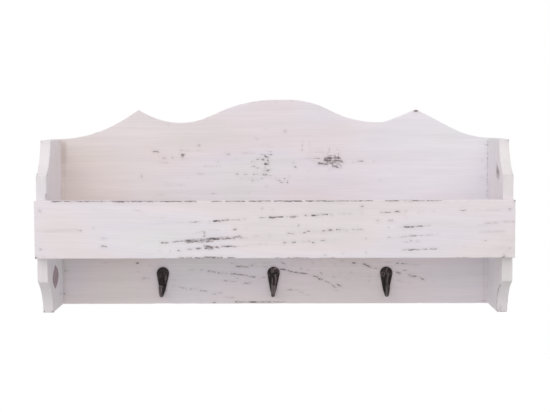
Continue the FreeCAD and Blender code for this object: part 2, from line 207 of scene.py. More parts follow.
back_panel_rubs_px = [
    # left cluster above the front board
    (256.8, 159.2, 259.3, 159.2, 0.65), (260, 158.6, 264.3, 158.3, 0.65),
    (261.5, 159.8, 264, 159.8, 0.6), (265, 156.5, 267.5, 157.3, 0.72),
    (267.5, 157.8, 267.7, 161.4, 0.8), (267.9, 162.1, 0.95), (265, 162.4, 266.4, 164, 0.72),
    (264.6, 164.6, 268.6, 164.6, 0.75), (263.2, 162.6, 0.5), (251.4, 161.7, 255.4, 161.7, 0.5),
    (252.1, 166.5, 254.6, 166.5, 0.5), (256.8, 168.1, 257.9, 168.1, 0.6), (259.3, 167.6, 0.5),
    (265, 166.7, 265, 168.5, 0.5), (263.9, 170.5, 267.9, 170.5, 0.85),
    (267.9, 170.3, 271.4, 169.4, 0.35), (244.6, 174.4, 247.1, 174.4, 0.5),
    (253.2, 174.5, 257.9, 174.5, 0.55), (261, 175.3, 0.5), (263.2, 174.6, 266, 174.6, 0.95),
    (267.1, 174.4, 0.6), (269.3, 175.3, 0.6), (271.6, 175.5, 0.5),
    (270, 177.6, 275.7, 177.6, 0.45), (271, 179.6, 275, 179.6, 0.35),
    (276, 179.2, 279.6, 180.5, 0.55), (279.6, 182.4, 283.9, 182.4, 0.4), (277.1, 176.4, 0.35),
    (284.6, 178.7, 0.5), (289.5, 177, 0.65), (287.5, 180, 287.5, 183, 0.5),
    (248.6, 178.5, 253.6, 178.5, 0.35), (252.1, 180.6, 253.6, 180.6, 0.5), (256.8, 180.5, 0.55),
    (260.7, 178.5, 262.9, 178.5, 0.45), (266.4, 186.7, 0.5), (248.6, 192.8, 0.4),
    (259.6, 154.4, 272.1, 154.5, 0.4), (267, 151.5, 272, 151.5, 0.35),
    (262, 147.8, 272, 147.5, 0.3), (242.9, 153.3, 254.3, 153.3, 0.4), (262, 145, 268, 145, 0.3),
    (285.2, 131, 0.85), (256.8, 139, 0.6), (266, 129.2, 0.4), (302.3, 141, 302.3, 147.7, 0.35),
    (302.3, 150, 0.65), (309.4, 142, 309.4, 154, 0.35), (293.9, 162.5, 0.65),
    (294.6, 166.5, 296, 167.5, 0.6), (299, 160.5, 0.4), (308, 178, 0.4), (323, 178.5, 0.35),
    # right cluster
    (319.1, 163.5, 324.3, 163.5, 1), (324.3, 163.8, 327, 164, 1),
    (327.3, 162.6, 329.6, 162.4, 1), (329.3, 162.8, 332, 163.6, 0.8),
    (324.7, 159.5, 325.7, 159.7, 1), (328.5, 160.3, 1), (328.5, 156, 328.5, 159.4, 0.91),
    (326.5, 158.6, 330.5, 158.6, 0.68), (331.1, 158.6, 331.1, 159.8, 0.97),
    (334.8, 155.2, 334.8, 156.2, 0.91), (334.8, 157.6, 334.8, 159.2, 0.97),
    (330.5, 155.6, 333.7, 155.6, 0.45), (332, 158.6, 338, 158.4, 0.45),
    (338.2, 158.2, 339.2, 158.2, 0.97), (339.5, 158.6, 341.5, 158.8, 0.4),
    (332.3, 161.5, 336.7, 161.5, 0.8), (340.2, 161.3, 342.3, 162.1, 1),
    (338, 161.8, 339.4, 162.6, 0.57), (336.5, 163, 338, 164, 0.57),
    (337.9, 164.1, 339.6, 164.6, 1), (332.3, 166.4, 336.7, 166, 0.97),
    (336.7, 167.3, 341, 167.3, 0.63), (329.6, 169.7, 0.45), (327.6, 166.2, 0.4),
    (329, 149.1, 0.57), (328.9, 151.6, 0.68), (339, 150.6, 0.4), (336.7, 149.6, 0.35),
    (338.4, 154.4, 0.57), (324.4, 157.6, 331, 157.4, 0.7), (325.6, 161, 331.6, 160.8, 0.78),
    (327.4, 153.4, 328.6, 155.6, 0.5), (333.2, 157.2, 336.4, 157.4, 0.66),
    (334.4, 160.2, 339.4, 160.2, 0.72), (338.6, 153.2, 338.8, 157, 0.6),
    (333.6, 163.2, 336.2, 163, 0.6), (332.6, 165, 338.6, 164.8, 0.6),
    (339.6, 164.8, 341.8, 166, 0.5), (322.6, 161.2, 324.8, 161.4, 0.55),
    (340.6, 159.8, 342.2, 160.4, 0.6), (305.9, 158.2, 312.3, 158.2, 0.4),
    (314.4, 158.4, 318.8, 158.4, 0.55), (319, 158.4, 324, 158.4, 0.4),
    (311.7, 160.3, 316.1, 161.8, 0.45), (316.7, 162, 319, 162.7, 0.45),
    (311.7, 149.3, 323.5, 149.3, 0.3), (311, 151.6, 326.4, 151.6, 0.3),
    (320.5, 152.2, 324, 152.5, 0.35), (310.9, 168.2, 0.4), (308.8, 171.4, 0.4),
    (316.7, 166.4, 0.45), (319.9, 165.6, 323.5, 165.6, 0.35), (353.7, 161.7, 0.6),
    (358, 161, 363, 161, 0.55), (373.8, 161.3, 0.5), (389.5, 167.5, 0.35), (380.5, 180.5, 0.5),
    # scattered marks to the left
    (153.9, 151.5, 157.9, 151.5, 0.75), (158.9, 152.2, 0.4), (158.9, 155.7, 0.35),
    (161.8, 157.7, 163.6, 157.7, 0.35), (163.9, 158.4, 165.4, 158.4, 0.65), (172.8, 157.7, 0.5),
    (159.3, 162.5, 167.9, 162.5, 0.4), (182.3, 148.4, 182.3, 151, 0.4),
    (180.4, 150.4, 183.6, 150.4, 0.4), (186.8, 150.6, 0.55), (182.1, 154.5, 184.6, 154.5, 0.75),
    (182.5, 155, 182.5, 157, 0.9), (182.5, 158.4, 0.6), (185.4, 158.4, 0.4), (186, 153.4, 0.35),
    (184, 160.7, 0.35), (198.8, 145.5, 0.8), (198.4, 147.5, 0.3), (189, 150.6, 202, 150.8, 0.25),
    (218, 161.8, 0.6), (204, 166, 211, 166, 0.35), (212, 166.5, 221, 166.5, 0.35),
    (198.6, 174.1, 203.6, 174.1, 0.4), (187, 177.4, 0.4), (141.8, 176.3, 0.75),
    (166, 184.5, 0.35), (169, 185.3, 184, 185.3, 0.3), (226.5, 154.3, 229.5, 154.3, 0.65),
    (234, 160, 240, 160, 0.35), (236, 174.2, 238, 174.2, 0.6), (240, 178.5, 243, 178.5, 0.4),
    (211, 193.5, 217, 193.5, 0.35), (158, 194.5, 163, 194.5, 0.3), (168.5, 124, 0.5),
    (106.5, 192.5, 0.45), (110, 190.5, 120, 190.5, 0.3), (482.5, 160.8, 0.6),
    (485, 145, 487.5, 145, 0.4), (485, 168.5, 488, 168.5, 0.4), (481, 177.3, 487.5, 177.3, 0.4),
    # The long row at x 487.8 on the next line is painted shade in the joint with the right side
    (480, 180, 487, 180, 0.3), (487.8, 141, 487.6, 197, 0.45), (291.5, 100.5, 0.6),
    (276.5, 103, 0.4), (289, 103, 0.3), (415, 110.8, 417, 110.8, 1),
    # below the front board, left part
    (136, 263, 139, 263, 0.52), (150, 265.2, 0.43), (138, 269.5, 0.4), (138, 271.8, 0.4),
    (143.5, 278.4, 0.77), (145, 278, 149, 278, 0.43), (137, 291, 0.4),
    (171, 280, 175, 280, 0.43), (172, 286, 175, 286, 0.4), (198.5, 280.5, 0.4),
    (64.2, 270.6, 67.8, 270.6, 0.52), (67.5, 292.3, 0.43), (67.5, 295.4, 0.43),
    (62.3, 260, 62.6, 268, 0.43), (63.2, 291.3, 0.43), (62.5, 293.8, 65, 293.8, 0.52),
    (102, 263, 107, 263, 0.39), (484.3, 300.9, 0.8),
    # between the left and the middle hook
    (231, 263.3, 235, 263.3, 0.52), (236, 266.3, 242, 266.3, 0.82),
    (244, 266.8, 248, 266.8, 0.6), (249, 265.5, 252, 265.5, 0.43), (252, 264, 257, 264, 0.43),
    (254, 266, 258, 266, 0.43), (262, 263, 270, 263, 0.43), (262, 266.8, 266, 266.8, 0.47),
    (189, 269.7, 194, 269.7, 0.4), (198, 269.7, 203, 269.7, 0.43),
    (208.5, 271.3, 215, 271.7, 0.77), (218, 272.8, 227, 273.2, 0.52),
    (231, 273.4, 240, 274.5, 0.82), (241, 275, 247, 275.4, 0.6), (248, 276.5, 255, 277.2, 0.6),
    (258, 278.5, 265, 277, 0.43), (236, 277, 239, 279, 0.43), (224, 280.5, 227, 280.5, 0.43),
    (230, 281.5, 236, 281.5, 0.43), (244, 283, 251, 283, 0.47), (250.5, 281.5, 0.52),
    (180, 287, 187, 289, 0.52), (190, 288.7, 197, 288.7, 0.52), (200, 290.5, 207, 291.3, 0.6),
    (213, 294, 216, 294, 0.6), (218, 293, 222, 293, 0.52), (224, 297.5, 234, 297.5, 0.43),
    (236, 300.5, 238, 300.5, 0.42), (235, 302, 285, 302, 0.59), (201, 302, 0.42),
    (213, 302.5, 216, 302.5, 0.59),
    # right of the middle hook
    (279, 269.1, 285, 269.7, 0.77), (285, 269.7, 291, 271.8, 0.82),
    (291, 271.8, 297, 272.5, 0.77), (297, 272.5, 305, 273.4, 0.73),
    (305, 273.4, 308, 273.6, 0.6), (281, 262, 285, 264.3, 0.52), (293, 263.3, 0.4),
    (301, 268.3, 0.52), (308.5, 269.5, 0.4), (312.7, 262.8, 0.52), (313.5, 276, 318, 277, 0.77),
    (319, 279, 322.5, 279, 0.82), (320, 272, 322, 274, 0.52), (315, 281, 0.4),
    (325, 281, 330, 283, 0.52), (332, 285, 336, 288, 0.6), (337, 284, 342, 287, 0.52),
    (337, 287.5, 342, 286, 0.43), (335, 290.5, 339, 290.5, 0.35), (320.5, 260.5, 0.43),
    (323, 265.5, 0.43), (335, 264, 0.4), (341, 260.4, 343, 260.4, 0.52),
    (353, 263, 355, 263, 0.77), (364, 264, 370, 267, 0.82), (372, 268.3, 377, 268.3, 0.43),
    (361, 270, 0.4), (351, 272.5, 0.52), (339, 272.3, 0.4), (339, 275.2, 0.4),
    (333, 277.3, 335, 277.3, 0.43), (344, 279, 349, 279, 0.43), (349, 275.5, 0.4),
    (370, 276.5, 0.52), (369, 281, 0.4), (288, 290, 292, 290, 0.4),
    (296, 289.8, 298, 289.8, 0.47), (300, 292, 309, 295, 0.4),
    # right of the right hook
    (396.5, 272.5, 400, 273.5, 0.82), (382, 260.5, 0.43), (386, 262, 391, 262, 0.43),
    (396.5, 263.3, 399, 263.3, 0.52), (402, 263.7, 408, 263.7, 0.47),
    (408, 264.5, 420, 264.5, 0.35), (415.5, 267, 0.4), (403, 270.5, 407, 270.5, 0.4),
    (409, 275, 416, 276.5, 0.82), (420, 278, 424, 279.8, 0.52), (398, 280.5, 400, 280.5, 0.43),
    (402, 282, 0.4), (408, 283.3, 410, 283.3, 0.43), (431, 269.7, 0.35), (433, 281.5, 0.4),
    (478, 301, 485, 301, 0.42),
]
left_inner_rubs_px = [
    (46.3, 195, 46.3, 199, 0.9), (53, 159, 53, 164, 0.3), (47.2, 175.3, 0.7),
    (60, 293.5, 61.5, 293.8, 0.5),
]
left_edge_rubs_px = [
    (36.3, 175.4, 0.7), (43.3, 294.9, 0.4), (37, 282.2, 46, 282.8, 0.35),
]
left_foot_rubs_px = [(43.8, 311.8, 0.85), (52.8, 311.8, 0.85)]
left_neck_rubs_px = [(41.6, 141, 0.6)]
right_inner_rubs_px = [
    (496, 163.5, 496.7, 163.5, 0.7), (496, 166, 497.5, 166, 0.7),
    (496.1, 168.5, 498.2, 168.5, 0.75), (496.2, 171, 498.9, 171, 0.8),
    (496.2, 173.5, 499.4, 173.5, 0.75), (496.4, 176, 499.5, 176, 0.65),
    (497.3, 178.5, 499.3, 178.5, 0.6), (497.5, 182.5, 498.3, 182.5, 0.4),
    (491.5, 280, 491.5, 288, 0.5), (500.5, 284, 498.5, 289, 0.7), (498.5, 289, 497.3, 296, 0.95),
    (496.8, 300, 496.9, 310, 0.75), (497, 311.5, 0.7),
]
right_edge_rubs_px = [
    (513.5, 175, 0.7), (503.5, 281.7, 511, 281.5, 0.4), (509.5, 284.6, 0.6),
]
right_foot_rubs_px = [
    (499.6, 307.4, 0.95), (499.6, 309.6, 0.9), (498.5, 311.6, 505.5, 311.5, 0.7),
]
right_neck_rubs_px = [(508.4, 140.6, 0.8)]

# Stains under the wash, and painted shade: (x, y, x, y, depth), by the photograph's pixels. The
# front board's rows are stains; the back panel's rows are painted shadow.
front_board_stains_px = [
    (36, 231.2, 40, 231.2, 0.2), (44.5, 231.2, 76, 229.8, 0.35), (475.5, 209.9, 480, 209.9, 0.2),
    (488, 209.9, 500, 209.9, 0.2), (486, 223, 497, 222.8, 0.25), (503.5, 221.7, 515, 221.7, 0.3),
    (478, 225.3, 486, 225.3, 0.2), (480, 231.9, 504, 231.9, 0.3),
]
back_panel_painted_shade_px = [
    # Painted shadow: bands beside the left side above and below the front board, one beside the
    # right side below it, and rows along the top of the rail under the front board
    (63.8, 144, 63.8, 162, 0.8), (63.8, 162, 64.4, 176, 0.45), (64.4, 176, 64.6, 197, 0.2),
    (64.2, 262, 64.6, 300, 0.45), (484, 261, 484.6, 299, 0.32), (66, 259, 380, 259, 0.36),
    (66, 262.6, 380, 262.6, 0.3), (66, 266, 380, 266, 0.2),
]

# Hooks: ridges worn pale and painted highlights, painted shade in hollows and gaps, and the
# screws' rims, worn pale and painted as highlights, as (x, y, radius, depth)
hook_wear_and_highlights_px = {
    "left": [
        (165.9, 276.2, 165.8, 279.6, 0.55), (165.8, 279.6, 165.3, 283.2, 0.35),
        (159.5, 286.2, 162.3, 286.7, 0.6), (159, 288.4, 160.2, 293.5, 0.45),
        (160.2, 293.5, 161.3, 296.4, 0.5), (161.2, 288.4, 161.4, 292, 0.6),
    ],
    "centre": [
        (274.8, 268.4, 275.9, 268.8, 1), (271.6, 269, 272, 272.4, 0.45),
        (273.6, 268.6, 273.2, 272.2, 0.5), (277.2, 269.8, 278.4, 272.2, 0.35),
        (274.9, 274.6, 275.8, 277.4, 0.75), (275.8, 277.4, 275.5, 283.6, 0.75),
        (272.4, 278.6, 272.4, 283.4, 0.6), (271.7, 284.8, 272, 293.6, 0.7),
        (274.8, 285.6, 275.1, 290.2, 0.75), (275.1, 290.2, 273.9, 294.2, 0.7),
        (273.3, 287, 273.4, 292.5, 0.5),
    ],
    "right": [
        (387.2, 267.4, 386.5, 270.7, 0.4), (386.5, 270.7, 386.8, 273, 0.45),
        (386.8, 273, 388.5, 274.6, 0.5), (388.4, 275.2, 387.5, 277.6, 0.6),
        (387.5, 277.6, 387.2, 282, 0.6), (387.2, 282.5, 386.8, 287, 0.3),
        (386.7, 288.4, 386.7, 293.5, 0.45), (386.7, 293.5, 386.6, 296.2, 0.55),
    ],
}
hook_painted_shade_px = {
    "left": [
        (159.3, 275.5, 0.8), (165.9, 272.7, 0.9), (163.3, 280.7, 163.6, 288.6, 0.8),
        (163.1, 288.6, 162.9, 294.1, 0.9), (158, 271.5, 160, 269, 0.4),
    ],
    "centre": [
        (269.7, 271.9, 271, 275.8, 0.8), (271.5, 275.2, 274.4, 272.7, 0.8),
        (275.1, 273.9, 276.7, 272.6, 0.9), (269.9, 278, 269.8, 283.5, 0.6),
        (273.9, 278.3, 273.2, 284.5, 0.7), (270.2, 284, 271.3, 290, 0.5), (272.7, 296.3, 0.6),
    ],
    "right": [
        (382.7, 269.2, 0.6), (382.9, 274.1, 0.9), (389.9, 271, 390, 272, 0.9),
        (384.4, 283.5, 384.8, 292.2, 0.9), (388.2, 288.4, 388.5, 291.2, 0.6),
        (390, 275, 389.5, 282, 0.6), (382, 277, 384, 283, 0.5),
    ],
}
hook_screw_rims_px = {
    "left": [(159.3, 275.5, 1.8, 0.2), (165.9, 272.7, 1.8, 0.15)],
    "centre": [(270.2, 274.6, 1.8, 0.25), (276.4, 272.9, 1.8, 0.2)],
    "right": [(382.9, 274.1, 1.85, 0.7), (390.4, 272.8, 1.5, 0.35)],
}


def linear(value):
    """One channel of a screen colour, 0 to 255, as linear light."""
    share = value / 255
    return share / 12.92 if share <= 0.04045 else ((share + 0.055) / 1.055) ** 2.4


def screen(red, green, blue):
    """A screen colour as Blender's own."""
    return (linear(red), linear(green), linear(blue), 1.0)


# Camera


def photo_camera():
    """The camera that took the photograph."""
    data = bpy.data.cameras.new("photo_camera")
    data.sensor_width = sensor_width
    data.lens = sensor_width * focal_px / photo_width
    camera = bpy.data.objects.new("photo_camera", data)
    scene.collection.objects.link(camera)
    turn = (Matrix.Rotation(camera_yaw, 4, "Z") @ Matrix.Rotation(camera_pitch, 4, "X")
            @ Matrix.Rotation(camera_roll, 4, "Y") @ Matrix.Rotation(math.pi / 2, 4, "X"))
    camera.matrix_world = Matrix.Translation(camera_place) @ turn
    scene.camera = camera
    return turn.to_3x3()


camera_turn = photo_camera()


def on_plane(x, y, plane):
    """The point of a flat face that shows at a pixel of the photograph."""
    axis, place = plane
    across = Vector(((x - photo_width / 2) / focal_px, (photo_height / 2 - y) / focal_px, -1))
    ray = camera_turn @ across
    index = "xyz".index(axis)
    return camera_place + ray * ((place - camera_place[index]) / ray[index])


def pixel_of(place):
    """The pixel of the photograph at which a point shows."""
    seen = camera_turn.inverted() @ (place - camera_place)
    return Vector((photo_width / 2 - focal_px * seen.x / seen.z,
                   photo_height / 2 + focal_px * seen.y / seen.z))


# Pieces


def worked_copy(node_name, piece_name):
    """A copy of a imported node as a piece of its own, with its doubled points merged and its
    stored normals cleared."""
    mesh = nodes[node_name].data.copy()
    mesh.name = piece_name
    mesh.materials.clear()
    piece = bpy.data.objects.new(piece_name, mesh)
    scene.collection.objects.link(piece)
    bpy.ops.object.select_all(action="DESELECT")
    bpy.context.view_layer.objects.active = piece
    piece.select_set(True)
    bpy.ops.mesh.customdata_custom_splitnormals_clear()
    bpy.ops.object.mode_set(mode="EDIT")
    bpy.ops.mesh.select_all(action="SELECT")
    bpy.ops.mesh.remove_doubles(threshold=merge_distance)
    bpy.ops.object.mode_set(mode="OBJECT")
    return piece


def cut_fine(piece, shown, cuts):
    """Cut the faces that a rule picks into a fine grid, so that wear can follow it."""
    scene.tool_settings.mesh_select_mode = (False, False, True)
    for face in piece.data.polygons:
        face.select = shown(face.normal)
    bpy.ops.object.mode_set(mode="EDIT")
    bpy.ops.mesh.hide(unselected=True)
    bpy.ops.mesh.select_all(action="SELECT")
    bpy.ops.mesh.dissolve_limited(angle_limit=math.radians(flat_degrees))
    low = [min(corner[i] for corner in piece.bound_box) for i in range(3)]
    high = [max(corner[i] for corner in piece.bound_box) for i in range(3)]
    for axis, step in cuts:
        index = "xyz".index(axis)
        normal = Vector((0, 0, 0))
        normal[index] = 1
        count = round((high[index] - low[index]) / step)
        for i in range(1, count):
            place = normal * (low[index] + (high[index] - low[index]) * i / count)
            bpy.ops.mesh.select_all(action="SELECT")
            bpy.ops.mesh.bisect(plane_co=place, plane_no=normal)
    bpy.ops.mesh.reveal()
    bpy.ops.object.mode_set(mode="OBJECT")


def tree_of(points):
    """A search tree over (index, place) pairs."""
    tree = KDTree(len(points))
    for index, place in points:
        tree.insert(place, index)
    tree.balance()
    return tree


def streak_values(piece, jobs, reaches):
    """How deep each point of a piece is rubbed by the streaks that cross it."""
    shallow_reach, deep_reach = reaches
    vertices = piece.data.vertices
    tree = tree_of([(v.index, v.co) for v in vertices])
    values = [0.0] * len(vertices)
    for plane, rows in jobs:
        for row in rows:
            depth = row[-1]
            start = on_plane(row[0], row[1], plane)
            end = on_plane(row[-3], row[-2], plane)
            reach = shallow_reach + (deep_reach - shallow_reach) * depth
            steps = max(1, math.ceil((end - start).length / mark_step))
            for i in range(steps + 1):
                place = start.lerp(end, i / steps)
                for _, index, distance in tree.find_range(place, reach):
                    value = depth * (1 - (distance / reach) ** 2)
                    values[index] = max(values[index], value)
    return values


def arris_values(piece):
    """How near each point of a board is to one of its eased arrises."""
    vertices = piece.data.vertices
    eased = [(v.index, v.co) for v in vertices
             if sorted(abs(part) for part in v.normal)[1] > arris_lean]
    tree = tree_of(eased)
    return [max(0.0, 1 - tree.find(v.co)[2] / arris_reach) for v in vertices]


def keep_values(piece, name, values):
    """Store one number for each point, for the finishes to read."""
    layer = piece.data.attributes.new(name, "FLOAT", "POINT")
    layer.data.foreach_set("value", values)


def sink(piece, name, values, depth, grain_size):
    """Press a piece in where its values are high, unevenly, as wear does."""
    group = piece.vertex_groups.new(name=name)
    for index, value in enumerate(values):
        if value > least_wear:
            group.add([index], min(value, 1), "REPLACE")
    texture = bpy.data.textures.new(piece.name + " " + name, "CLOUDS")
    texture.noise_scale = grain_size
    texture.noise_depth = 1
    bpy.ops.object.select_all(action="DESELECT")
    bpy.context.view_layer.objects.active = piece
    piece.select_set(True)
    modifier = piece.modifiers.new(name, "DISPLACE")
    modifier.texture = texture
    modifier.texture_coords = "LOCAL"
    modifier.vertex_group = name
    modifier.mid_level = 0
    modifier.strength = -depth
    bpy.ops.object.modifier_apply(modifier=modifier.name)


def refinish(node, material):
    """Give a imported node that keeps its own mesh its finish."""
    node.data.materials.clear()
    node.data.materials.append(material)


def finish_piece(piece, node_name, material, smooth_degrees):
    """Give a piece its finish and put it in its node's place."""
    piece.data.materials.append(material)
    bpy.ops.object.select_all(action="DESELECT")
    bpy.context.view_layer.objects.active = piece
    piece.select_set(True)
    bpy.ops.object.shade_smooth_by_angle(angle=math.radians(smooth_degrees))
    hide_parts(node_name)
    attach(piece, "root")


# Finishes


class Finish:
    """A material put together node by node."""

    def __init__(self, name):
        self.material = bpy.data.materials.new(name)
        self.material.use_nodes = True
        self.tree = self.material.node_tree
        self.surface = self.tree.nodes["Principled BSDF"]

    def feed(self, socket, value):
        if isinstance(value, bpy.types.NodeSocket):
            self.tree.links.new(value, socket)
        else:
            socket.default_value = value

    def node(self, kind, inputs, **settings):
        made = self.tree.nodes.new(kind)
        for key, value in settings.items():
            setattr(made, key, value)
        for key, value in inputs.items():
            self.feed(made.inputs[key], value)
        return made

    def place(self):
        return self.node("ShaderNodeTexCoord", {}).outputs["Object"]

    def scaled(self, vector, scale):
        return self.node("ShaderNodeMapping", {"Vector": vector, "Scale": scale}).outputs[0]

    def turned(self, vector, turn):
        return self.node("ShaderNodeMapping", {"Vector": vector, "Rotation": turn}).outputs[0]

    def noise(self, vector, scale=1.0, detail=2.0, roughness=0.5):
        made = self.node("ShaderNodeTexNoise", {"Vector": vector, "Scale": scale,
                                                "Detail": detail, "Roughness": roughness})
        return made.outputs["Fac"]

    def axis(self, vector, letter):
        return self.node("ShaderNodeSeparateXYZ", {"Vector": vector}).outputs[letter]

    def maths(self, operation, first, second=0.0):
        return self.node("ShaderNodeMath", {0: first, 1: second}, operation=operation).outputs[0]

    def between(self, value, low, high, out_low=0.0, out_high=1.0):
        made = self.node("ShaderNodeMapRange", {"Value": value, "From Min": low, "From Max": high,
                                                "To Min": out_low, "To Max": out_high},
                         interpolation_type="SMOOTHSTEP")
        return made.outputs["Result"]

    def mix(self, amount, first, second, blend="MIX"):
        made = self.node("ShaderNodeMix", {0: amount, 6: first, 7: second},
                         data_type="RGBA", blend_type=blend)
        return made.outputs[2]

    def ramp(self, value, stops):
        made = self.node("ShaderNodeValToRGB", {"Fac": value})
        ramp = made.color_ramp
        while len(ramp.elements) < len(stops):
            ramp.elements.new(0.5)
        for element, (place, colour) in zip(ramp.elements, stops):
            element.position = place
            element.color = colour
        return made.outputs["Color"]

    def value(self, name):
        return self.node("ShaderNodeAttribute", {}, attribute_name=name).outputs["Fac"]

    def bump(self, height, strength, distance):
        made = self.node("ShaderNodeBump", {"Height": height, "Strength": strength,
                                            "Distance": distance})
        self.feed(self.surface.inputs["Normal"], made.outputs["Normal"])


wash_beige = screen(235, 227, 227)
wash_pink = screen(239, 229, 232)
wash_lilac = screen(236, 230, 236)
wash_grey = screen(234, 231, 232)
wash_warm = screen(232, 220, 211)
wash_cool_and_lit = screen(244, 242, 248)
wash_painted_light = screen(246, 245, 248)
worn_grey = screen(160, 150, 153)
bare_dark = screen(110, 101, 104)
bare_brown = screen(150, 138, 140)
stain_and_shade_tint = screen(233, 229, 225)
knot_mauve = screen(180, 163, 168)
knot_shade = screen(160, 142, 147)
knot_dark = screen(132, 116, 120)


def whitewash(name, upright=False, grain_lean=0.0, arris_wear=0.35, toned=False):
    """A thin white wash over sawn softwood, rubbed through to dark wood along its grain. A toned
    board yellows towards its left end and, partly as painted light, cools and pales towards its
    right end. An upright board's broad faces are painted paler than its edges, as painted light."""
    finish = Finish(name)
    place = finish.place()
    leaned = finish.turned(place, (0, grain_lean, 0))

    def grained(along, across):
        scale = (across, across, along) if upright else (along, across, across)
        return finish.scaled(leaned, scale)

    wash = finish.ramp(finish.noise(finish.scaled(place, (6, 6, 11)), detail=1.0), [
        (0.34, wash_beige), (0.46, wash_pink), (0.56, wash_lilac), (0.68, wash_grey)])
    # Painted light on the uprights: broad faces are painted paler and front edges greyer, as lit
    # and shaded copies of one wash
    if upright:
        wash = finish.mix(0.5, wash, finish.mix(finish.value("broad"), wash_grey, wash_painted_light))
    if toned:
        height = finish.axis(place, "Z")
        rightward = finish.axis(place, "X")
        leftward = finish.maths("MULTIPLY", rightward, -1.0)
        warmth = finish.between(leftward, 0.06, 0.28, 0.0, 0.6)
        warmth = finish.maths("MULTIPLY", warmth, finish.between(height, 0.04, -0.01))
        warmth = finish.maths("MULTIPLY", warmth, finish.between(height, -0.15, -0.09, 0.3, 1.0))
        wash = finish.mix(warmth, wash, wash_warm)
        # Towards its upper right the back is painted cooler and paler: partly its tone, partly
        # painted light
        coolness_and_light = finish.maths("MULTIPLY", finish.between(rightward, 0.05, 0.2, 0.0, 0.6),
                                finish.between(height, -0.11, -0.06))
        wash = finish.mix(coolness_and_light, wash, wash_cool_and_lit)
    broad = finish.between(finish.noise(grained(4, 70), detail=3.0), 0.3, 0.7, 0.972, 1.015)
    fibre = finish.between(finish.noise(grained(22, 620), detail=3.0), 0.3, 0.7, 0.975, 1.015)
    wash = finish.mix(1.0, wash, finish.maths("MULTIPLY", broad, fibre), "MULTIPLY")
    # Stains darken the wash, and on the back panel painted shade does
    wash = finish.mix(finish.value("stain_and_shade"), wash, stain_and_shade_tint, "MULTIPLY")

    fine = finish.noise(grained(240, 720), detail=3.0, roughness=0.6)
    coarse = finish.noise(grained(85, 480), detail=2.0)
    field = finish.maths("ADD", finish.maths("MULTIPLY", fine, 0.68),
                         finish.maths("MULTIPLY", coarse, 0.32))
    unmarked = finish.maths("SUBTRACT", 1.0, finish.value("marked"))
    streaks = finish.between(finish.noise(grained(5, 48)), 0.62, 0.74, 0.0, 0.62)
    streaks = finish.maths("MULTIPLY", streaks, unmarked)
    patches = finish.between(finish.noise(place, 24.0), 0.5, 0.66)
    wear = finish.maths("ADD", finish.maths("MULTIPLY", unmarked, 0.35), arris_wear)
    arris = finish.maths("MULTIPLY", finish.value("arris"),
                         finish.maths("MULTIPLY", patches, wear))
    worn = finish.maths("MAXIMUM", finish.value("rubbed"),
                        finish.maths("MAXIMUM", streaks, arris))
    lift = finish.maths("ADD", finish.between(worn, 0.08, 0.55, 0.0, 0.12),
                        finish.maths("MULTIPLY", worn, 0.2))
    over = finish.maths("ADD", field, lift)
    bare = finish.between(over, 0.72, 0.79)
    hazy = finish.between(over, 0.56, 0.76, 0.0, 0.55)
    hazy = finish.maths("MULTIPLY", hazy, finish.between(worn, 0.02, 0.35))
    wood = finish.mix(finish.between(coarse, 0.42, 0.66), bare_brown, bare_dark)
    soiled = finish.maths("MULTIPLY", finish.value("soiled"),
                          finish.between(coarse, 0.3, 0.6, 0.05, 0.18))
    colour = finish.mix(soiled, wash, worn_grey)
    colour = finish.mix(hazy, colour, worn_grey)
    colour = finish.mix(bare, colour, wood)
    knot = finish.value("knot")
    rings = finish.noise(finish.scaled(place, (60, 160, 160)), detail=2.0)
    inside = finish.mix(finish.between(rings, 0.35, 0.65), knot_mauve, knot_shade)
    colour = finish.mix(finish.between(knot, 0.02, 0.3), colour, inside)
    colour = finish.mix(finish.value("knot_rim"), colour, knot_dark)
    finish.feed(finish.surface.inputs["Base Color"], colour)
    finish.feed(finish.surface.inputs["Roughness"],
                finish.between(finish.noise(place, 90.0), 0.3, 0.7, 0.58, 0.74))
    finish.surface.inputs["Specular IOR Level"].default_value = 0.35
    height = finish.maths("SUBTRACT", finish.maths("MULTIPLY", fibre, 2.0), bare)
    finish.bump(height, 0.35, 0.3 * mm)
    return finish.material


def cast_iron(name):
    """Dark antique lacquer over rough cast iron, worn paler on its ridges, with painted
    highlights there and painted shade in its hollows and gaps.
    """
    finish = Finish(name)
    place = finish.place()
    skin = finish.noise(place, 700.0, 3.0, 0.6)
    cloud = finish.noise(place, 140.0, 2.0)
    colour = finish.ramp(cloud, [(0.35, screen(32, 25, 26)), (0.6, screen(48, 40, 40)),
                                 (0.75, screen(64, 53, 53))])
    # Wear and painted highlights lighten the lacquer
    wear_and_highlight = finish.maths("MULTIPLY", finish.value("wear_and_highlight"),
                         finish.between(skin, 0.3, 0.6, 0.6, 1.0))
    colour = finish.mix(wear_and_highlight, colour, screen(148, 134, 134))
    # Painted shade in hollows, gaps and screw recesses
    colour = finish.mix(finish.value("painted_shade"), colour, screen(16, 12, 12))
    finish.feed(finish.surface.inputs["Base Color"], colour)
    finish.feed(finish.surface.inputs["Roughness"], finish.between(cloud, 0.3, 0.7, 0.38, 0.56))
    finish.surface.inputs["Specular IOR Level"].default_value = 0.2
    finish.bump(skin, 0.45, 0.25 * mm)
    return finish.material


def steel(name, base, worn, roughness, metal, grain):
    """Plain steel of one kind, with a slightly uneven skin."""
    finish = Finish(name)
    place = finish.place()
    cloud = finish.noise(place, grain, 3.0, 0.6)
    finish.feed(finish.surface.inputs["Base Color"],
                finish.mix(finish.between(cloud, 0.42, 0.6), base, worn))
    finish.feed(finish.surface.inputs["Roughness"],
                finish.between(cloud, 0.3, 0.7, roughness, roughness + 0.15))
    finish.surface.inputs["Metallic"].default_value = metal
    finish.bump(cloud, 0.2, 0.1 * mm)
    return finish.material


# Boards

